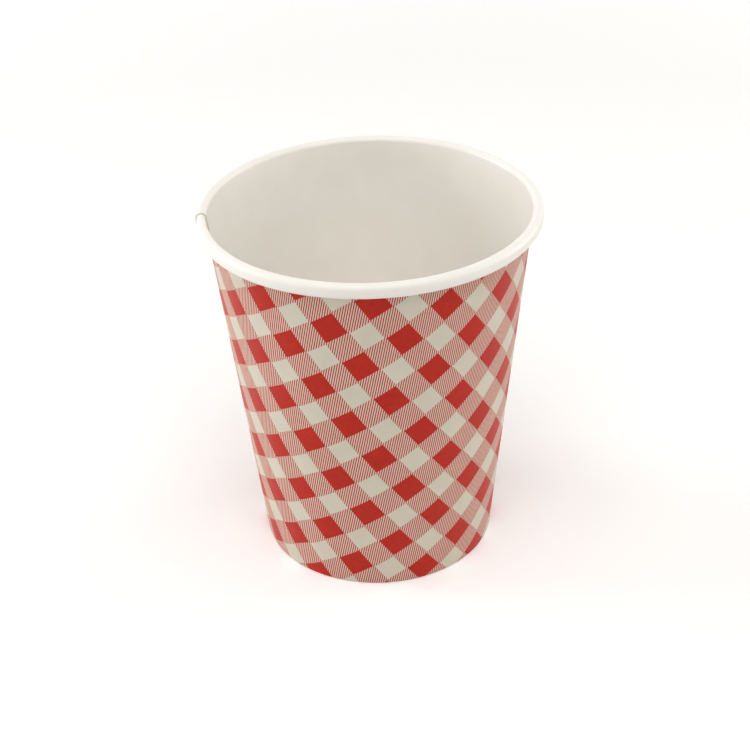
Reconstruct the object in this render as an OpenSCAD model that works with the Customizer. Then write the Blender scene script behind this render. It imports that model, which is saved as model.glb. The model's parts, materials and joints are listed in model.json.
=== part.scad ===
// Paper party cup: a lapped, printed paper sidewall with a rolled rim, and a recessed paper bottom.
// Millimetres, +Z up, origin at the centre of the foot circle on the table.

/* [Cup] */
// Outer diameter across the rolled rim
rim_d = 75; // [65:0.5:90]
// Outer diameter of the sidewall at the foot
base_d = 53; // [45:0.5:60]
// Height from the table to the top of the rim
height = 83; // [60:0.5:110]

/* [Paper] */
// Thickness of the sidewall's coated paper
wall_t = 0.3; // [0.22:0.02:0.5]
// Thickness of the bottom's coated paper
bottom_t = 0.25; // [0.18:0.01:0.4]
// Clearance between layers of paper that are sealed together
seal_gap = 0.02; // [0.01:0.01:0.05]

/* [Rolled rim] */
// How far the roll stands out beyond the outer face of the sidewall
curl_out = 2.15; // [1.8:0.05:3.5]
// Height of the roll
curl_h = 3.2; // [2.8:0.1:4.5]
// Slit between the roll's tucked end and the sidewall
curl_slit = 0.12; // [0.05:0.01:0.3]
// Length of the paper's edge that stands up inside the roll
curl_tuck = 0.7; // [0.3:0.1:1.2]

/* [Foot] */
// Height of the sidewall's turned-in hem
hem_h = 3.8; // [3:0.1:8]
// Clearance between the hem's edge and the bend round the bottom's edge
hem_gap = 0.05; // [0.05:0.05:1]
// Inside radius of the two creases of the foot's fold, which is pressed flat between them
crease_r = 0.06; // [0.03:0.01:0.08]
// Outside radius of the bend between the bottom's disc and its skirt
bend_r = 0.7; // [0.5:0.05:1.2]

/* [Side seam] */
// Azimuth of the outer flap's edge, counted from +X towards +Y
seam_turn = 170; // [0:1:359]
// Width of the overlap at the foot
lap_w = 6; // [4:0.5:9]
// How much of its thickness the paper loses in the overlap, which is pressed hot
lap_press = 0.05; // [0.03:0.01:0.08]
// Angle over which the outer flap comes back to the round of the cup
ramp_a = 14; // [8:1:20]

/* [Print] */
// Side of one square of the check
square = 5.62; // [3:0.01:9]
// Slope of the stripes where the check is centred
check_turn = 34; // [0:1:89]
// Azimuth of the solid square that the check is laid out from
check_azimuth = -89.3; // [-180:0.1:180]
// Height of that square's centre above the foot, along the sidewall
check_rise = 37.4; // [10:0.1:60]
// Thickness that stands for a coat of ink
ink_t = 0.06; // [0.04:0.01:0.1]
// Clearance under each coat of ink
ink_gap = 0.05; // [0.03:0.01:0.06]

/* [Hidden] */
round_fn = 120;
// Degrees of a bend that one facet of its section takes
bend_step = 22.5;
rim_r = rim_d / 2;
base_r = base_d / 2;
// Outside radii and centres of the roll's upper bend, which the sidewall runs into, and its lower bend
top_bend_r = (curl_out + wall_t) / 2;
low_bend_r = (curl_out - curl_slit) / 2;
top_bend = [rim_r - top_bend_r, height - top_bend_r];
low_bend = [rim_r - low_bend_r, height - curl_h + low_bend_r];
// Lean of the sidewall: its printed face runs from the foot to touch the inside of the upper bend
to_bend = top_bend - [base_r, 0];
lean = atan2(to_bend[0], to_bend[1]) - asin((top_bend_r - wall_t) / norm(to_bend));
// Length of the straight part of the sidewall, along its printed face
slant = sqrt(to_bend * to_bend - pow(top_bend_r - wall_t, 2));
// The foot holds the sidewall, the bottom's skirt and the hem side by side
foot_t = 2 * (wall_t + seal_gap) + bottom_t;
// Outside radius of its creases, and their centres in the sidewall's frame, at that radius above the table
fold_r = wall_t + crease_r;
fold_y = fold_r * (1 - sin(lean)) / cos(lean);
hem_x = fold_r - foot_t;
hem_y = (fold_r + hem_x * sin(lean)) / cos(lean);
// Centre of the bend round the bottom's edge in the sidewall's frame, and the bottom's underside
edge_x = -wall_t - seal_gap - bend_r;
edge_y = hem_h / cos(lean) + hem_gap;
floor_z = edge_y * cos(lean) - edge_x * sin(lean) + bend_r - bottom_t;
// Rise of the outer flap over the inner one
lap_rise = wall_t - lap_press;
// The seam in whole degrees: the ends of the two flaps, and where the outer one is back on the round
inner_end = seam_turn + round(lap_w / base_r * 180 / PI);
ramp_end = inner_end + ramp_a;
// Beyond the lap the sidewall's round is set back by this, so that at half height
// it starts level with the outer flap and comes back to the round of the cup
mid_r = base_r + slant * sin(lean) / 2;
flap_r = mid_r + lap_rise;
ramp_shift = (flap_r * flap_r - mid_r * mid_r) / 2 / (mid_r - flap_r * cos(ramp_a));
// How far the eased stretch stands proud there, and how many degrees of it overlap the outer flap
ease_step = -0.014;
ease_weld = 0.1;
// Joined stretches of paper overlap by this much, along a face or in degrees
weld = 0.4;
// Degrees left bare beside the outer flap's edge
seam_margin = 0.2;
// The flat blank: distance of the foot from the tip of the sidewall's cone, and the printed height
foot_rho = base_r / sin(lean);
print_low = fold_y + crease_r;
print_high = (height - curl_h) / cos(lean);
pitch = 2 * square;
reach = ceil((PI * base_r + slant) / pitch) + 2;

// Points of a bend
function bend(centre, r, from, to) =
    let (steps = ceil(abs(to - from) / bend_step))
    [for (i = [0 : steps]) let (a = from + (to - from) * i / steps) centre + r * [cos(a), sin(a)]];

// A point given in the sidewall's own frame: x is outwards from its printed face, y is up its slope
function on_wall(p) =
    [base_r + p[0] * cos(lean) + p[1] * sin(lean), p[1] * cos(lean) - p[0] * sin(lean)];

function reversed(points) = [for (i = [len(points) - 1 : -1 : 0]) points[i]];

// The paper's printed face is depth 0, and its plain face is depth wall_t.
// The foot is a hem, turned inwards and up
function foot_face(depth) = concat(
    [on_wall([depth - foot_t, hem_h / cos(lean)])],
    bend(on_wall([hem_x, hem_y]), fold_r - depth, 180 - lean, 270),
    bend(on_wall([-fold_r, fold_y]), fold_r - depth, 270, 360 - lean));

// The rim is rolled over, down and under, and its edge stands up inside the roll
function rim_face(depth) = concat(
    bend(top_bend, top_bend_r - wall_t + depth, 180 - lean, 0),
    bend(low_bend, low_bend_r - wall_t + depth, 0, -180),
    [low_bend + [wall_t - depth - low_bend_r, curl_tuck]]);

// Paper between its two faces
module paper(printed, plain) {
    polygon(concat(printed, reversed(plain)));
}

// A strip of paper along the sidewall
module strip(x0, x1, y0, y1) {
    polygon([on_wall([x0, y0]), on_wall([x1, y0]), on_wall([x1, y1]), on_wall([x0, y1])]);
}

// A section turned about the cup's axis, from one azimuth to another
module turned(from, to) {
    rotate_extrude(angle = to - from, start = from, $fn = round_fn) children();
}

// The outer flap beyond the lap, easing back to the round of the cup: it turns about an axis
// set back from the cup's, and at the end of its way it all but lies on the cup's round
module eased() {
    back = ramp_shift - ease_step;
    intersection() {
        translate(-back * [cos(ramp_end), sin(ramp_end), 0])
            turned(inner_end - weld, ramp_end + weld) translate([ramp_shift, 0]) children();
        turned(inner_end - ease_weld, ramp_end + 2 * weld) square([rim_d, height]);
    }
}

module sidewall() {
    color("#f5f2ec") {
        // The whole blank, which ends as the inner flap
        turned(ramp_end - 360, inner_end)
            paper(concat(foot_face(0), rim_face(0)), concat(foot_face(wall_t), rim_face(wall_t)));
        // Beside the inner flap's edge the rim and the foot are pressed round
        turned(inner_end, ramp_end) {
            paper(concat([on_wall([0, slant - weld])], rim_face(0)),
                  concat([on_wall([-wall_t, slant - weld])], rim_face(wall_t)));
            paper(concat(foot_face(0), [on_wall([0, fold_y + weld])]),
                  concat(foot_face(wall_t), [on_wall([-wall_t, fold_y + weld])]));
        }
        // The sidewall climbs over that edge
        eased() strip(-wall_t, 0, fold_y + weld / 2, slant - weld / 2);
        // The outer flap
        turned(seam_turn, inner_end)
            strip(-lap_press, lap_rise, print_low, print_high + low_bend_r);
    }
}

// The bottom's faces: a disc with a skirt turned down into the hem, depth 0 upwards and outwards
function bottom_face(depth) = concat(
    [[0, floor_z + bottom_t - depth]],
    bend(on_wall([edge_x, edge_y]), bend_r - depth, 90, -lean),
    [on_wall([-wall_t - seal_gap - depth, fold_y])]);

module bottom() {
    color("#f8f5ee") rotate_extrude($fn = round_fn) paper(bottom_face(0), bottom_face(bottom_t));
}

// A coat of ink on the printed face: coat 0 lies on the paper, and coat 1 on coat 0
module ink(coat, rise = 0) {
    low = rise + ink_gap + coat * (ink_t + ink_gap);
    strip(low, low + ink_t, print_low, print_high);
}

// One half of the printed round. The blank's halves are cut by their own squares only,
// so the check doesn't match at the seam
module inked(coat, half) {
    middle = seam_turn + 180;
    if (half == 0) {
        turned(seam_turn, inner_end) ink(coat, lap_rise);
        eased() ink(coat);
        turned(ramp_end, middle) ink(coat);
    } else {
        turned(middle, seam_turn + 360 - seam_margin) ink(coat);
    }
}

// Places of the squares on the flat blank, as distance from the cone's tip and angle from the first square
function blank_place(i, j) =
    let (x = pitch * (i * sin(check_turn) + j * cos(check_turn)),
         y = pitch * (j * sin(check_turn) - i * cos(check_turn)) + foot_rho + check_rise)
    [norm([x, y]), atan2(x, y)];

// Azimuth of a place, counted round the cup from the outer flap's edge
function blank_turn(place) =
    let (turn = check_azimuth + place[1] / sin(lean) - seam_turn)
    check_azimuth < seam_turn ? turn + 360 : turn;

// Radial blocks through one kind of square, those that reach into one half of the blank
module blocks(offset, half) {
    margin = square / base_r * 180 / PI;
    for (i = [-reach : reach], j = [-reach : reach]) {
        place = blank_place(i + offset, j + offset);
        slope = place[0] - foot_rho;
        turn = blank_turn(place);
        in_height = slope > print_low - square && slope < print_high + square;
        if (in_height && turn > 180 * half - margin && turn < 180 * (half + 1) + margin)
            rotate(seam_turn + turn)
                translate([place[0] * sin(lean), 0, slope * cos(lean)])
                    rotate([0, lean, 0]) rotate([check_turn + place[1], 0, 0])
                        cube([4 * wall_t, square, square], center = true);
    }
}

// Stripes of half-tone both ways: all of the print but its bare squares
module print_tint() {
    color("#e8a398") for (half = [0, 1]) difference() {
        inked(0, half);
        blocks(0.5, half);
    }
}

// Solid squares where two stripes cross
module print_solid() {
    color("#c62a20") for (half = [0, 1]) intersection() {
        inked(1, half);
        blocks(0, half);
    }
}

sidewall();
bottom();
print_tint();
print_solid();
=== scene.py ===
# %% [markdown]
# A paper party cup
#
# The cup is made of two pieces of thin board. A printed blank is wrapped into a cone, lapped and
# sealed along one side, rolled over at the rim and turned in at the foot. A round bottom with a
# skirt sits in that foot. This lesson loads the measured model first, so that every piece that is
# made below sits exactly where the construction says.

# %% Load the measured model
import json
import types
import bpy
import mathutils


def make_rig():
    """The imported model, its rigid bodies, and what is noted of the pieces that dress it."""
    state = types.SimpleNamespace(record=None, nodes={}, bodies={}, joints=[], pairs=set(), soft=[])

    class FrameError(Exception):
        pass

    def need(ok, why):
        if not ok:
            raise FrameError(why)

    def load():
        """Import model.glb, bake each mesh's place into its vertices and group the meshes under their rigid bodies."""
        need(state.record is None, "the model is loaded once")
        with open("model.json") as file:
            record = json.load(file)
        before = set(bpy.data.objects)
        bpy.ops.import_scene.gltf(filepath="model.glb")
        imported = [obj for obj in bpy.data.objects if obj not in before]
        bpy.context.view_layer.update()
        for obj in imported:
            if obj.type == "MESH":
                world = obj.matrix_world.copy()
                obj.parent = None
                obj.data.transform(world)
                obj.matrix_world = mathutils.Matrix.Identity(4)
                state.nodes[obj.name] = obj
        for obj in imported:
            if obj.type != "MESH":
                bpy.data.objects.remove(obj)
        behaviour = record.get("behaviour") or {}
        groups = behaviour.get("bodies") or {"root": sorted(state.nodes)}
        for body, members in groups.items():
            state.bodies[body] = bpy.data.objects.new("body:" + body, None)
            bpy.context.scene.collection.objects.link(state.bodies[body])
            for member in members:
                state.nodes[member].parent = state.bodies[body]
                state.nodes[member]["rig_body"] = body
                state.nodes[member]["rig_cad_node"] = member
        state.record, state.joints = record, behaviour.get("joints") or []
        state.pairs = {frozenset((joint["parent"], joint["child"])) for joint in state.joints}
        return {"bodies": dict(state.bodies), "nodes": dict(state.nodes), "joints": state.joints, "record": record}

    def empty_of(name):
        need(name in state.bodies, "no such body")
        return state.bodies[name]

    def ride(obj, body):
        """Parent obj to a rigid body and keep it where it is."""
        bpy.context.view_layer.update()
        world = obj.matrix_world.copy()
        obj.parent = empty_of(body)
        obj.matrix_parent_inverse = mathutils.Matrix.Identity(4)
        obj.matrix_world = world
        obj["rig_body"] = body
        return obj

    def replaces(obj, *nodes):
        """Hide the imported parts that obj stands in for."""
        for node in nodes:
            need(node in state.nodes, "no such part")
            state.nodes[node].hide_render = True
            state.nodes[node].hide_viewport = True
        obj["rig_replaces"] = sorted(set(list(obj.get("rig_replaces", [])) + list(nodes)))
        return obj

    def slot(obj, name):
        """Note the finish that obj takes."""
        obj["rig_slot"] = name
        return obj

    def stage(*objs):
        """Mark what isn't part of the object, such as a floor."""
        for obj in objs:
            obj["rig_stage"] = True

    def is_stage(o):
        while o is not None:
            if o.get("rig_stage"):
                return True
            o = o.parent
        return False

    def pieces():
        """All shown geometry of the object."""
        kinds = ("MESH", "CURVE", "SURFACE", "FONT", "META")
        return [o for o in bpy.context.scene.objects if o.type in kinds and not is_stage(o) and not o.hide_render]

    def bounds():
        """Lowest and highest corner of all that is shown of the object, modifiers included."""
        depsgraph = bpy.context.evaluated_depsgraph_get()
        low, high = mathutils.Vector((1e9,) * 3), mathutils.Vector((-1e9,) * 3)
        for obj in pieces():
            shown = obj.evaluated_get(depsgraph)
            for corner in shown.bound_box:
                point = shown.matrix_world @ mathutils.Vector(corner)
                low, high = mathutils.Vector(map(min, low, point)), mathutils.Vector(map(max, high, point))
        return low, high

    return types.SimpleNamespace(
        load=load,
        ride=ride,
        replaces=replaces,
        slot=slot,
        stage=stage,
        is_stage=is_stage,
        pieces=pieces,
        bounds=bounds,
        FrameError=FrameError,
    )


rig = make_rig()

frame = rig.load()

import json
import math

import bpy
import numpy as np
from mathutils import Matrix, Vector

cad_box = [list(corner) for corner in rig.bounds()]
print("measured box, mm:", [[round(v * 1000, 2) for v in corner] for corner in cad_box])

# %% [markdown]
# Measures of the cup
#
# The same named measures as the construction uses, in millimetres. A thin sheet is easiest to
# think about on its printed face: from there, depth goes through the paper to the plain face.

# %% Measures
MM = 0.001
RIM_R, BASE_R, HEIGHT = 37.5, 26.5, 83.0
WALL_T, BOTTOM_T, SEAL_GAP = 0.3, 0.25, 0.02
CURL_OUT, CURL_H, CURL_SLIT, CURL_TUCK = 2.15, 3.2, 0.12, 0.7
HEM_H, HEM_GAP, CREASE_R, BEND_R = 3.8, 0.05, 0.06, 0.7
SEAM_TURN, LAP_W, LAP_RISE, RAMP_A = 170, 6.0, 0.25, 14
SQUARE, CHECK_TURN, CHECK_AZIMUTH, CHECK_RISE = 5.62, 34.0, -89.3, 37.4

# the roll's two bends, and the lean of the sidewall that runs up to touch the upper one
top_r = (CURL_OUT + WALL_T) / 2
low_r = (CURL_OUT - CURL_SLIT) / 2
top_bend = np.array([RIM_R - top_r, HEIGHT - top_r])
low_bend = np.array([RIM_R - low_r, HEIGHT - CURL_H + low_r])
to_bend = top_bend - [BASE_R, 0]
lean = math.atan2(to_bend[0], to_bend[1]) - math.asin((top_r - WALL_T) / np.hypot(*to_bend))
slant = math.sqrt(to_bend @ to_bend - (top_r - WALL_T) ** 2)
outward = np.array([math.cos(lean), -math.sin(lean)])
upward = np.array([math.sin(lean), math.cos(lean)])
foot_t = 2 * (WALL_T + SEAL_GAP) + BOTTOM_T
fold_r = WALL_T + CREASE_R
fold_y = fold_r * (1 - math.sin(lean)) / math.cos(lean)
hem_x = fold_r - foot_t
hem_y = (fold_r + hem_x * math.sin(lean)) / math.cos(lean)
hem_top = HEM_H / math.cos(lean)
# the bottom's edge is bent over the hem's, and that sets how high the bottom lies
edge_x, edge_y = -WALL_T - SEAL_GAP - BEND_R, hem_top + HEM_GAP
floor_z = edge_y * math.cos(lean) - edge_x * math.sin(lean) + BEND_R - BOTTOM_T
inner_end = SEAM_TURN + round(math.degrees(LAP_W / BASE_R))
ramp_end = inner_end + RAMP_A
foot_rho = BASE_R / math.sin(lean)
print("lean %.3f degrees, slant %.2f mm, lap %d to %d degrees" % (
    math.degrees(lean), slant, SEAM_TURN, inner_end))


def on_wall(x, y):
    """A point given from the printed face at the foot: x outwards, y up the slope."""
    return np.array([BASE_R, 0.0]) + x * outward + y * upward


# %% [markdown]
# The section of the paper
#
# Cut a cup in half and the board shows as one long line: up inside the foot, round the fold, up
# the wall and over into the roll. The line below holds points of the printed face, the direction
# that the print faces there, and how far along the flat blank each point lies.

# %% The line of the printed face
BEND_STEPS = 14
WALL_STEPS = 26


def bend_line(centre, radius, start, stop, steps, side):
    """Points of a bend from one angle to another, in radians, with the way the print faces."""
    turns = np.linspace(start, stop, steps + 1)
    ways = np.stack([np.cos(turns), np.sin(turns)], 1)
    return centre + radius * ways, side * ways


def straight_line(x, low, high, steps, side):
    """Points along the sidewall's slope, with the way the print faces."""
    heights = np.linspace(low, high, steps + 1)
    return np.array([on_wall(x, y) for y in heights]), np.tile(side * outward, (steps + 1, 1))


def paper_line():
    """The whole section: points, facing directions, and places along the blank."""
    quarter = math.pi / 2
    runs = [
        straight_line(-foot_t, hem_top, hem_y, 6, -1),
        bend_line(on_wall(hem_x, hem_y), fold_r, 2 * quarter - lean, 3 * quarter, 6, 1),
        bend_line(on_wall(-fold_r, fold_y), fold_r, 3 * quarter, 4 * quarter - lean, 8, 1),
        straight_line(0, fold_y, slant, WALL_STEPS, 1),
        bend_line(top_bend, top_r - WALL_T, 2 * quarter - lean, 0, BEND_STEPS, -1),
        bend_line(low_bend, low_r - WALL_T, 0, -2 * quarter, BEND_STEPS, -1),
    ]
    tuck = low_bend + [WALL_T - low_r, CURL_TUCK]
    points = np.vstack([r[0] for r in runs] + [[tuck]])
    ways = np.vstack([r[1] for r in runs] + [[[1.0, 0.0]]])
    # neighbouring runs share a point: keep one of each
    keep = np.r_[True, np.hypot(*np.diff(points, axis=0).T) > 1e-6]
    points, ways = points[keep], ways[keep]
    along = np.r_[0, np.cumsum(np.hypot(*np.diff(points, axis=0).T))]
    start_of_wall = int(np.argmin(np.hypot(*(points - on_wall(0, fold_y)).T)))
    return points, ways, along - along[start_of_wall] + fold_y


line, facing, along = paper_line()
print("section of", len(line), "points,", round(along[-1] - along[0], 2), "mm of paper")

# %% [markdown]
# The lap and the hand of the machine
#
# Along the seam the outer flap lies on the inner one. Heat and pressure squeeze both, so it
# stands proud by less than the paper's thickness, and over the next few degrees it comes back to
# the round of the cup. No cup is perfectly round either: soft board springs back a little.

# %% How far the paper stands off the round
FOOT_LIFT = 0.28         # how far the inner flap's fold is pressed up over the outer one's
FOOT_SOFT = 4.0          # height over which that dies away
FLAP_EASE = 3            # degrees over which it begins
OVAL = ((2, 0.13, 0.5), (3, 0.05, 2.2), (5, 0.025, 0.9))  # waves round the cup, mm, start
PRESSED = 0.05           # how far the foot is squeezed outwards by the knurl


def smooth(x):
    x = np.clip(x, 0, 1)
    return x * x * (3 - 2 * x)


def rise(turn):
    """How far the paper lies out from the round at an azimuth, in mm."""
    return LAP_RISE * (1 - smooth((turn - inner_end) / RAMP_A)) * (turn < ramp_end)


def thick(turn):
    """The paper's thickness, less where the seam was pressed."""
    return WALL_T - (WALL_T - LAP_RISE) * (1 - smooth((turn - inner_end) / RAMP_A))


def waver(turn, height):
    """The cup's small departures from round, in mm: spring-back, and the pressed foot."""
    a = np.radians(turn)
    up = np.clip(height / HEIGHT, 0, 1)
    oval = sum(size * np.sin(waves * a + start) for waves, size, start in OVAL)
    pressed = PRESSED * smooth((floor_z + 1 - height) / 0.9) * smooth((height - 0.6) / 1.5)
    return oval * up ** 1.3 + pressed


def swept(turns, points, ways, offset):
    """The section's points, moved out by offset along their facing, at each azimuth."""
    out = (rise(turns)[:, None] + offset)[..., None]
    section = points[None] + out * ways[None]
    turn, radius, z = turns[:, None], section[..., 0], section[..., 1]
    radius = radius + waver(turn, z)
    # the inner flap's fold is pressed up by the outer flap's, which lies under it
    under = smooth((turn - (SEAM_TURN + 360 - FLAP_EASE)) / FLAP_EASE)
    z = z + FOOT_LIFT * under * np.clip(1 - z / FOOT_SOFT, 0, 1) ** 2
    a = np.radians(turn)
    return np.stack([radius * np.cos(a), radius * np.sin(a), z], -1)


# %% [markdown]
# Making a mesh from rows of points
#
# Every piece of this cup is a thin shell: a front face, a back face, and the cut edge between
# them. One helper closes such a shell, whatever its shape, and marks which faces are which, so
# that print, coating and cut board can each have their own finish.

# %% A closed shell from two grids of points
FRONT, BACK, EDGE = 0, 1, 2


def shell(name, front, back, ring=False):
    """A closed mesh between two grids [azimuth, place, xyz], with its faces marked."""
    rows, cols = front.shape[:2]
    points = np.concatenate([front, back[:, ::-1]], 1)
    wide = 2 * cols
    i = np.arange(rows if ring else rows - 1)[:, None]
    j = np.arange(wide)[None]
    nxt, side = (i + 1) % rows, (j + 1) % wide
    quads = np.stack([i * wide + j, nxt * wide + j, nxt * wide + side, i * wide + side], -1)
    kind = np.where(j < cols - 1, FRONT, np.where((j >= cols) & (j < wide - 1), BACK, EDGE))
    faces = [quads.reshape(-1, 4)]
    kinds = [np.broadcast_to(kind, quads.shape[:2]).reshape(-1)]
    if not ring:
        k = np.arange(cols - 1)
        first = np.stack([k, k + 1, wide - 2 - k, wide - 1 - k], -1)
        last = first[:, ::-1] + (rows - 1) * wide
        faces += [first, last]
        kinds += [np.full(len(first) * 2, EDGE)]
    faces = np.concatenate(faces)
    mesh = bpy.data.meshes.new(name)
    mesh.from_pydata((points.reshape(-1, 3) * MM).tolist(), [], faces.tolist())
    mesh.polygons.foreach_set("material_index", np.concatenate(kinds).astype(np.int32))
    mesh.shade_smooth()
    mesh.update()
    piece = bpy.data.objects.new(name, mesh)
    bpy.context.scene.collection.objects.link(piece)
    return piece


def note_blank(piece, turns, places, cols):
    """Keep each point's place on the flat blank, in mm, for the print to read."""
    spread = np.radians(turns - 360 - CHECK_AZIMUTH)[:, None] * math.sin(lean)
    rho = foot_rho + places[None]
    x, y = rho * np.sin(spread), rho * np.cos(spread) - foot_rho - CHECK_RISE
    flat = np.stack([x, y, np.broadcast_to(places[None], x.shape)], -1)
    flat = np.concatenate([flat, flat[:, ::-1]], 1)
    kept = piece.data.attributes.new("blank_mm", "FLOAT_VECTOR", "POINT")
    kept.data.foreach_set("vector", flat.astype(np.float32).ravel())


def sharpen(piece, degrees=32):
    piece.data.set_sharp_from_angle(angle=math.radians(degrees))


# %% [markdown]
# The printed sidewall
#
# The blank is one strip of paper that goes round a little more than once, so that is how it is
# made: the section is swept from the outer flap's edge, round the cup, and on under that flap.
# The step of the seam, inside and out, on the roll and in the foot, then comes by itself.

# %% The sidewall
TURN_STEP = 1.25          # degrees from one section to the next, away from the seam
seam_from, seam_to = SEAM_TURN + 356, ramp_end + 3
turns = np.unique(np.round(np.concatenate([
    np.linspace(SEAM_TURN, seam_to, 46),
    np.arange(seam_to, seam_from, TURN_STEP),
    np.linspace(seam_from, inner_end + 360, 18),
]), 4))
front = swept(turns, line, facing, np.zeros((1, len(line))))
depths = thick(turns)[:, None] * np.ones((1, len(line)))
back = swept(turns, line, facing, -depths)
# the fold stays on the table where the flap would push it through
front[..., 2] = np.maximum(front[..., 2], 0)
low = facing[:, 1] < -0.2
back[:, low, 2] = np.maximum(back[:, low, 2], depths[:, low] * -facing[None, low, 1] * 0.98)
sidewall = shell("sidewall_paper", front, back)
note_blank(sidewall, turns, along, len(line))
sharpen(sidewall)
print("sidewall:", len(sidewall.data.polygons), "faces,", len(turns), "azimuths")

# %% [markdown]
# The knurled hem
#
# A toothed wheel presses the foot's layers together from inside, and leaves rows of small
# diamond pits round the hem. They are real relief here, because the underside of a cup is seen
# close up. The pressed skin is its own thin shell on the hem, which keeps the fine mesh small.

# %% The knurl
KNURL_PITCH, KNURL_ROW, KNURL_WIDE = 1.78, 1.08, 0.42
KNURL_DEEP, KNURL_SKIN, KNURL_ROOT = 0.16, 0.03, 0.06
KNURL_FIRST = hem_y + 0.35  # the lowest row
KNURL_FADE = 0.25           # where the pressed skin rises from the hem, at both its edges


def knurl(turns, places):
    """Height of the pressed skin over the hem, and its pits: diamonds in staggered rows."""
    round_mm = 2 * math.pi * (BASE_R - foot_t)
    teeth = round(round_mm / KNURL_PITCH)
    row = (places - KNURL_FIRST) / KNURL_ROW
    near = np.round(row)
    off_row = (row - near) * KNURL_ROW
    off_tooth = (turns[:, None] / 360 * teeth + near[None] / 2 + 0.5) % 1 - 0.5
    across = np.abs(off_tooth) * round_mm / teeth + np.abs(off_row)[None]
    pit = smooth(1.35 * (1 - across / KNURL_WIDE))
    border = (smooth((places - hem_y) / KNURL_FADE)
              * smooth((hem_top - 0.1 - places) / KNURL_FADE))
    return KNURL_SKIN + KNURL_DEEP * border[None] * (1 - pit), pit


knurl_turns = np.linspace(SEAM_TURN + 0.25, SEAM_TURN + 359.6, 900)
knurl_places = np.linspace(hem_top - 0.08, hem_y + 0.02, 34)
hem_line = np.array([on_wall(-foot_t, y) for y in knurl_places])
hem_facing = np.tile(-outward, (len(hem_line), 1))
skin, pits = knurl(knurl_turns, knurl_places)
hem_knurl = shell(
    "hem_knurl",
    swept(knurl_turns, hem_line, hem_facing, skin),
    swept(knurl_turns, hem_line, hem_facing, np.full_like(skin, -KNURL_ROOT)))
hem_knurl.data.set_sharp_from_angle(angle=math.radians(60))
# where the pits are, for the hem's finish to paint them darker with pressed fibres and painted shade
pressed = hem_knurl.data.attributes.new("pit", "FLOAT", "POINT")
pressed.data.foreach_set("value", np.concatenate(
    [pits, np.zeros_like(pits)], 1).astype(np.float32).ravel())
print("knurl:", len(hem_knurl.data.polygons), "faces")

# %% [markdown]
# The bottom
#
# The bottom is punched as a flat disc and drawn into a shallow cap, so its edge has too much
# paper, and that gathers in fine pleats round the bend. The disc itself rests slightly dished.

# %% The bottom disc with its skirt
PLEATS, PLEAT_DEEP = 72, 0.11
DISH, WARP = 0.22, 0.05
DISC_RINGS, EDGE_STEPS, SKIRT_STEPS = 28, 10, 6


def bottom_line():
    """Section of the bottom's upper face: from the middle, round the bend and down the skirt."""
    bend_points, bend_ways = bend_line(
        on_wall(edge_x, edge_y), BEND_R, math.pi / 2, -lean, EDGE_STEPS, 1)
    middle = bend_points[0][0]
    radii = np.r_[0.02, np.linspace(1, middle, DISC_RINGS)[:-1]]
    disc = np.stack([radii, np.full(len(radii), floor_z + BOTTOM_T)], 1)
    skirt_points, skirt_ways = straight_line(
        -WALL_T - SEAL_GAP, edge_y, fold_y, SKIRT_STEPS, 1)
    return (np.vstack([disc, bend_points, skirt_points[1:]]),
            np.vstack([np.tile([0.0, 1.0], (len(disc), 1)), bend_ways, skirt_ways[1:]]))


cap_line, cap_facing = bottom_line()
flat_r = cap_line[DISC_RINGS, 0]  # the disc is flat out to here, where its edge starts to bend
rng = np.random.default_rng(7)
pleat_turn = (np.arange(PLEATS) + rng.uniform(-0.35, 0.35, PLEATS)) * 360 / PLEATS
pleat_size = rng.uniform(0.3, 1.0, PLEATS)
pleat_wide = rng.uniform(0.5, 1.1, PLEATS)
pleat_reach = rng.uniform(1.2, 3.4, PLEATS)


def cap(turns, depth):
    """The bottom's points at each azimuth, with its pleats and its dish."""
    points = cap_line[None] - depth * cap_facing[None]
    radius = np.broadcast_to(points[..., 0], (len(turns), len(cap_line))).copy()
    z = np.broadcast_to(points[..., 1], radius.shape).copy()
    away = (turns[:, None] - pleat_turn + 180) % 360 - 180
    fold = pleat_size * np.exp(-(away / pleat_wide) ** 2)
    for k in range(len(cap_line)):
        inside = max(flat_r - cap_line[k, 0], 0)
        fade = np.exp(-(inside / pleat_reach) ** 2)
        on_bend = 1.0 if cap_line[k, 1] > floor_z - 0.3 else 0.0
        z[:, k] -= PLEAT_DEEP * on_bend * (fold * fade).sum(1) * (cap_facing[k, 1] > 0.3)
    a = np.radians(turns)[:, None]
    span = np.clip(1 - radius / flat_r, 0, 1)
    z -= DISH * smooth(span * 1.4)
    z += WARP * smooth(span * 2) * np.sin(2 * a + 1.1) * (radius / flat_r)
    return np.stack([radius * np.cos(a), radius * np.sin(a), z], -1)


cap_turns = np.arange(0, 360, 0.75)
bottom = shell("bottom_disc", cap(cap_turns, 0), cap(cap_turns, BOTTOM_T), ring=True)
sharpen(bottom, 45)
print("bottom:", len(bottom.data.polygons), "faces")

# %% [markdown]
# Writing shader sums in Python
#
# A print is a sum on coordinates. So that the sums below read as sums, one small class wraps a
# node's socket and adds a Math node for each operator. Every other kind of node is made by one
# method, which takes the node's type, its settings, and the values or links of its sockets.


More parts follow.
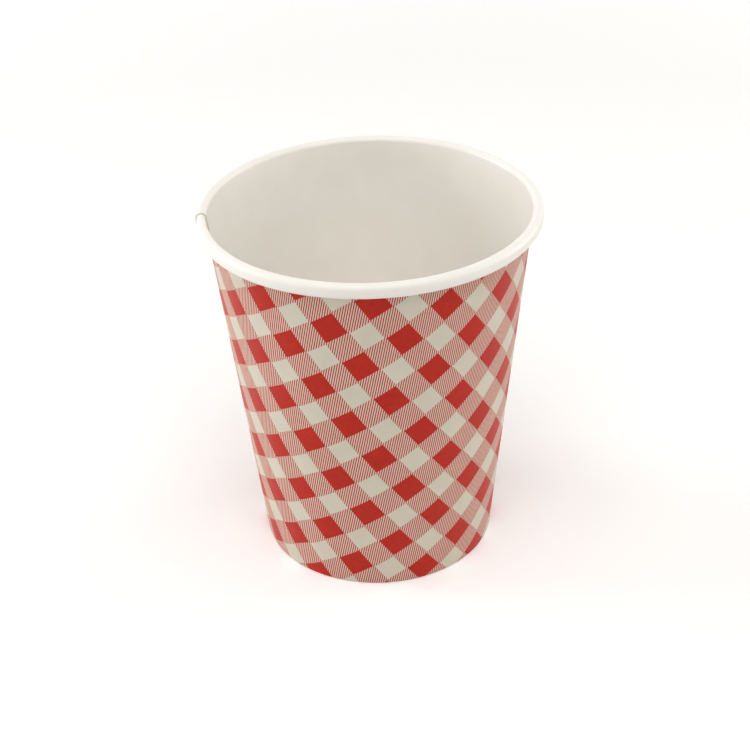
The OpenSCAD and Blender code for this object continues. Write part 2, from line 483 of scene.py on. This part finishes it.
# %% Wires and finishes
class Wire:
    """A value that runs through a finish, on which sums can be written."""

    def __init__(self, finish, socket):
        self.finish, self.socket = finish, socket

    def sum(self, operation, *values):
        sockets = dict(enumerate(values))
        return self.finish.node("ShaderNodeMath", {"operation": operation}, sockets)

    def __add__(self, other):
        return self.sum("ADD", self, other)

    def __sub__(self, other):
        return self.sum("SUBTRACT", self, other)

    def __rsub__(self, other):
        return self.sum("SUBTRACT", other, self)

    def __mul__(self, other):
        return self.sum("MULTIPLY", self, other)

    def __truediv__(self, other):
        return self.sum("DIVIDE", self, other)

    def __rtruediv__(self, other):
        return self.sum("DIVIDE", other, self)

    __radd__, __rmul__ = __add__, __mul__

    def fraction(self):
        return self.sum("FRACT", self)

    def size(self):
        return self.sum("ABSOLUTE", self)

    def limit(self, low, high):
        """0 below low and 1 above high, with a straight slope between."""
        return self.finish.node(
            "ShaderNodeMapRange", {"clamp": True},
            {"Value": self, "From Min": low, "From Max": high})


class Finish:
    """A material or a world, and the one way to add nodes to it."""

    def __init__(self, block):
        if isinstance(block, str):
            block = bpy.data.materials.new(block)
        self.block = block
        self.block.use_nodes = True
        self.tree = self.block.node_tree
        self.tree.nodes.clear()

    def node(self, kind, settings=None, sockets=None, output=0):
        made = self.tree.nodes.new(kind)
        for name, value in (settings or {}).items():
            setattr(made, name, value)
        for name, value in (sockets or {}).items():
            if isinstance(value, Wire):
                self.tree.links.new(value.socket, made.inputs[name])
            else:
                made.inputs[name].default_value = value
        return Wire(self, made.outputs[output] if len(made.outputs) else None)

    def blend(self, factor, first, second):
        """A colour between two colours."""
        return self.node("ShaderNodeMix", {"data_type": "RGBA"},
                         {0: factor, 6: first, 7: second}, output=2)

    def noise(self, where, scale, detail=2.0, roughness=0.5):
        return self.node("ShaderNodeTexNoise", {"noise_dimensions": "3D"},
                         {"Vector": where, "Scale": scale, "Detail": detail,
                          "Roughness": roughness})

    def place(self):
        """Where a point is on the object, in metres."""
        return self.node("ShaderNodeTexCoord", output="Object")

    def paper(self, sockets):
        """Close the finish with a shader for paper."""
        shader = self.node("ShaderNodeBsdfPrincipled", None, sockets)
        self.node("ShaderNodeOutputMaterial", None, {"Surface": shader})
        return self.block

    def seen(self):
        """1 where the camera looks, straight or by way of a gloss or a glass."""
        rays = self.node("ShaderNodeLightPath").socket.node.outputs
        kinds = [Wire(self, rays[k]) for k in (
            "Is Camera Ray", "Is Glossy Ray", "Is Transmission Ray")]
        return kinds[0] + kinds[1] + kinds[2]


def colour(red, green, blue):
    """A colour as a picture editor gives it, made linear for the shader."""
    def linear(v):
        v /= 255
        return v / 12.92 if v <= 0.04045 else ((v + 0.055) / 1.055) ** 2.4
    return (linear(red), linear(green), linear(blue), 1.0)


# %% [markdown]
# The gingham print
#
# Gingham is woven from two sets of stripes. Where two coloured stripes cross it is solid, where
# one crosses bare cloth it is half and half, and the rest stays bare. Printed on board, the half
# and half squares are a twill of fine slanting lines. The sums below ask, for a place on the
# flat blank, how far it is along each set of stripes, so the print bends with the paper and
# breaks at the seam, as on a real cup.

# %% The printed face
TWILL_LINES = 8       # slanting lines along one side of a square
TWILL_INK = 0.50      # share of the half-tone that is ink
TWILL_TOOTH = 0.28    # how far a line's end stands into a bare square, in mm
CREEP = 0.055         # how far ink creeps past its edge, in mm
BARE_FROM = -0.15     # the print ends where the paper turns under the foot, in mm up the slope
PAPER_OUT, PAPER_CLOUD = colour(216, 208, 190), colour(222, 215, 198)
INK_RED = colour(197, 35, 8)
INK_DEEP = colour(181, 26, 5)

print_face = Finish("gingham_print")
blank = print_face.node("ShaderNodeAttribute", {"attribute_name": "blank_mm"}, output="Vector")
split = print_face.node("ShaderNodeSeparateXYZ", None, {0: blank})
flat_x, flat_y, slope = (Wire(print_face, split.socket.node.outputs[k]) for k in range(3))
here = print_face.place()

# a press never lays ink to a knife edge: it creeps into the board's fibres
creep = (print_face.noise(here, 4200.0, 3.0) - 0.5) * CREEP
c, s = math.cos(math.radians(CHECK_TURN)), math.sin(math.radians(CHECK_TURN))
pitch = 2 * SQUARE
first = (flat_x * c + flat_y * s) / pitch
second = (flat_x * s - flat_y * c) / pitch


def off_stripe(place):
    """How far a place is from the edge of its nearest stripe, in mm: below 0 is on the stripe."""
    return (((place + 0.5).fraction() - 0.5).size() - 0.25) * pitch + creep


def ink_from(distance, soft=0.05):
    """1 where a distance says ink, 0 where bare, over a soft edge."""
    return 1 - distance.limit(-soft, soft)


off_first, off_second = off_stripe(first), off_stripe(second)
solid = ink_from(off_first) * ink_from(off_second)
# the twill's lines end as small teeth that stand into the bare squares
bare = (1 - ink_from(off_first - TWILL_TOOTH)) * (1 - ink_from(off_second - TWILL_TOOTH))
half = 1 - bare - solid
twill_pitch = SQUARE / TWILL_LINES / math.sqrt(2)
twill = ((first + second) * (2 * TWILL_LINES)).fraction() - TWILL_INK / 2
twill_off = ((twill + 0.5).fraction() - 0.5).size() * twill_pitch
lines = ink_from(twill_off - TWILL_INK / 2 * twill_pitch + creep, 0.03)
printed = (slope - BARE_FROM).limit(-0.05, 0.05)
worn = print_face.noise(here, 1900.0, 4.0, 0.7) + (slope - 0.15).limit(0.0, 0.9) * 0.5
kept_ink = worn.limit(0.34, 0.46)
ink = (solid + half * lines) * printed * kept_ink

# the ink lies a little unevenly, and the board has a faint cloud of its own
patchy = print_face.noise(here, 700.0, 4.0, 0.65).limit(0.3, 0.7)
cloud = print_face.noise(here, 160.0, 3.0, 0.6).limit(0.25, 0.75)
board = print_face.blend(cloud, PAPER_OUT, PAPER_CLOUD)
red = print_face.blend(patchy, INK_DEEP, INK_RED)
fibre = print_face.noise(here, 5200.0, 3.0, 0.6) + print_face.noise(here, 900.0, 2.0) * 0.8
gloss = 0.5 - ink * 0.07 + patchy * 0.06
relief = print_face.node("ShaderNodeBump", None, {
    "Strength": 0.35, "Distance": 0.00002, "Height": fibre + ink * 0.25})
gingham = print_face.paper({
    "Base Color": print_face.blend(ink, board, red), "Roughness": gloss, "Normal": relief,
    "Specular IOR Level": 0.22})
print("print: squares %.2f mm, twill lines %.3f mm apart" % (SQUARE, twill_pitch))

# %% [markdown]
# The plain coated face, and the cut edge
#
# Inside, the board wears a thin film of plastic that keeps the drink in: smooth, warm white, with
# a soft sheen and the faint orange peel of the board under it. Where the board was cut it is
# raw, rougher and a little darker, with its layers of fibre showing.

# %% Coated board and raw edges


def coated(name, pale, shade, peel, pit_painted_shade=None):
    """Board under a thin plastic film, with a cloudy tone and a fine peel; given a pit colour, the knurl's pits are
    painted darker, partly as pressed fibres and partly as painted shade.
    """
    finish = Finish(name)
    where = finish.place()
    clouds = finish.noise(where, 120.0, 3.0, 0.6).limit(0.25, 0.75)
    tone = finish.blend(clouds, shade, pale)
    # painted shade: the knurl's pits are coloured darker, partly as pressed fibres and partly as the shade that falls
    # in them
    if pit_painted_shade:
        pit = finish.node("ShaderNodeAttribute", {"attribute_name": "pit"}, output="Fac")
        tone = finish.blend(pit * 0.75, tone, pit_painted_shade)
    fine = finish.noise(where, 1500.0, 3.0, 0.55) + finish.noise(where, 5000.0, 2.0) * 0.4
    bump = finish.node("ShaderNodeBump", None, {
        "Strength": peel, "Distance": 0.00002, "Height": fine})
    return finish.paper({
        "Base Color": tone,
        "Roughness": 0.36 + clouds * 0.08,
        "Normal": bump, "Coat Weight": 0.12, "Coat Roughness": 0.25,
        "Specular IOR Level": 0.5})


def raw_edge():
    """Cut board: open fibres, matt and slightly grey."""
    finish = Finish("cut_board")
    where = finish.place()
    fibres = finish.noise(where, 6000.0, 4.0, 0.7)
    bump = finish.node("ShaderNodeBump", None, {
        "Strength": 0.6, "Distance": 0.00003, "Height": fibres})
    return finish.paper({
        "Base Color": finish.blend(
            fibres.limit(0.3, 0.7), colour(205, 198, 182), colour(232, 227, 214)),
        "Roughness": 0.85, "Normal": bump})


lined = coated("coated_lining", colour(251, 248, 242), colour(248, 244, 236), 0.4)
bottom_board = coated("coated_bottom", colour(245, 242, 235), colour(240, 236, 227), 0.35)
edge = raw_edge()

for material in (gingham, lined, edge):
    sidewall.data.materials.append(material)
# the hem's finish paints its pits darker: pressed fibres, and painted shade in the pits
pressed_hem_with_painted_pit_shade = coated("pressed_hem_with_painted_pit_shade", colour(243, 240, 232), colour(237, 233, 223), 0.5,
                     pit_painted_shade=colour(176, 168, 150))
for material in (pressed_hem_with_painted_pit_shade, lined, edge):
    hem_knurl.data.materials.append(material)
for material in (bottom_board, coated("plain_underside", colour(244, 241, 234),
                                      colour(238, 234, 226), 0.5), edge):
    bottom.data.materials.append(material)

# %% [markdown]
# What stands for what
#
# The dressed pieces take the places of the construction's solids. The printed strip stands for
# the sidewall and for both coats of its ink, and all of them ride on the cup's one body.

# %% Bind the pieces to the measured model
for piece, paper_slot, nodes in (
        (sidewall, "sidewall_paper", ("sidewall", "print_tint", "print_solid")),
        (hem_knurl, "sidewall_paper", ()),
        (bottom, "bottom_paper", ("bottom",))):
    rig.ride(piece, "root")
    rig.slot(piece, paper_slot)
    if nodes:
        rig.replaces(piece, *nodes)
    print(piece.name, "stands for", nodes or "its own relief")

# %% [markdown]
# Floor, backdrop and light
#
# A packshot of white paper on white needs the light to wrap round it. One curved sheet is both
# floor and backdrop. A big soft lamp hangs above and a little in front, and a lower one stands at
# each side, a little behind the cup, so that its front stays calm and its sides and rim lift off
# the background.

# %% The curved sheet
SWEEP_HALF, SWEEP_FRONT, SWEEP_BACK, SWEEP_R, SWEEP_UP = 3.0, -3.0, 1.6, 0.7, 2.6
SWEEP_LOW = -0.00005  # a hair under the foot, so that paper and sheet never share a face
SWEEP_GLOW = 0.2
SWEEP_NEAR, SWEEP_FAR = 0.3, 1.6


def curved_sheet():
    """Floor and backdrop in one sheet, curved where they meet."""
    path = [(SWEEP_FRONT, SWEEP_LOW), (SWEEP_BACK, SWEEP_LOW)]
    for k in range(1, 13):
        a = math.pi / 2 * k / 12
        path.append((SWEEP_BACK + SWEEP_R * math.sin(a), SWEEP_LOW + SWEEP_R * (1 - math.cos(a))))
    path.append((SWEEP_BACK + SWEEP_R, SWEEP_UP))
    points = [(x, y, z) for y, z in path for x in (-SWEEP_HALF, SWEEP_HALF)]
    faces = [(2 * k, 2 * k + 1, 2 * k + 3, 2 * k + 2) for k in range(len(path) - 1)]
    mesh = bpy.data.meshes.new("sweep")
    mesh.from_pydata(points, [], faces)
    mesh.shade_smooth()
    sheet = bpy.data.objects.new("sweep", mesh)
    bpy.context.scene.collection.objects.link(sheet)
    return sheet


sweep = curved_sheet()
white = Finish("white_sweep")
# far from the cup the lamps' light fades, so there the sheet shows more white of its own
spot = white.node("ShaderNodeVectorMath", {"operation": "LENGTH"}, {0: white.place()}, "Value")
far = spot.limit(SWEEP_NEAR, SWEEP_FAR)
sweep.data.materials.append(white.paper({
    "Base Color": colour(244, 244, 243), "Roughness": 0.9, "Specular IOR Level": 0.1,
    "Emission Color": white.blend(far, (SWEEP_GLOW, SWEEP_GLOW, SWEEP_GLOW, 1), (1, 1, 1, 1)),
    "Emission Strength": white.seen()}))
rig.stage(sweep)

# %% Lamps and the world
SKY = 0.33
bpy.context.scene.world = bpy.data.worlds.new("studio")
sky = Finish(bpy.context.scene.world)
dome = sky.node("ShaderNodeBackground", None, {
    "Color": (1.0, 0.99, 0.975, 1.0), "Strength": sky.seen() * (1 - SKY) + SKY})
sky.node("ShaderNodeOutputWorld", None, {"Surface": dome})


def lamp(name, place, size, power, tint, target=(0.0, 0.0, 0.045)):
    """A soft square lamp that looks at the cup."""
    data = bpy.data.lights.new(name, "AREA")
    data.shape, data.size, data.energy, data.color = "SQUARE", size, power, tint
    made = bpy.data.objects.new(name, data)
    made.location = place
    made.rotation_euler = (Vector(target) - Vector(place)).to_track_quat("-Z", "Y").to_euler()
    bpy.context.scene.collection.objects.link(made)
    print(name, "%.1f W at %.2f m" % (power, Vector(place).length))


lamp("overhead", (0.0, -0.38, 1.02), 0.9, 6.8, (1.0, 0.99, 0.975))
lamp("left_side", (-0.95, 0.2, 0.27), 0.5, 4.6, (1.0, 1.0, 1.0))
lamp("right_side", (0.95, 0.25, 0.3), 0.55, 3.0, (1.0, 0.965, 0.92))

# %% [markdown]
# The camera
#
# The camera stands where the photographer stood, a little above the rim and close enough for the
# cup to taper towards its foot, and leans by the small angle that the picture has. The lens is
# long, so that the cup fills the frame.

# %% The camera
CAMERA_AT = Vector((0.0, -0.32212, 0.23842))
LOOK_AT = Vector((0.0, 0.0, 0.0395))
FOCAL_PIXELS, FRAME_PIXELS, SENSOR = 1650, 750, 36.0
ROLL = math.radians(-1.94)

view = (LOOK_AT - CAMERA_AT).to_track_quat("-Z", "Y").to_matrix()
camera_data = bpy.data.cameras.new("camera")
camera_data.sensor_width = SENSOR
camera_data.lens = FOCAL_PIXELS * SENSOR / FRAME_PIXELS
camera_data.clip_start = 0.01
camera = bpy.data.objects.new("camera", camera_data)
camera.matrix_world = (
    Matrix.Translation(CAMERA_AT) @ (view @ Matrix.Rotation(ROLL, 3, "Z")).to_4x4())
bpy.context.scene.collection.objects.link(camera)
bpy.context.scene.camera = camera
bpy.context.scene.view_settings.view_transform = "Standard"
print("lens %.1f mm" % camera_data.lens)

# %% Write the measured and the dressed boxes
with open("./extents.json", "w") as kept:
    json.dump({"cad": cad_box, "visual": [list(corner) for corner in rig.bounds()]}, kept)
print(open("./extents.json").read())
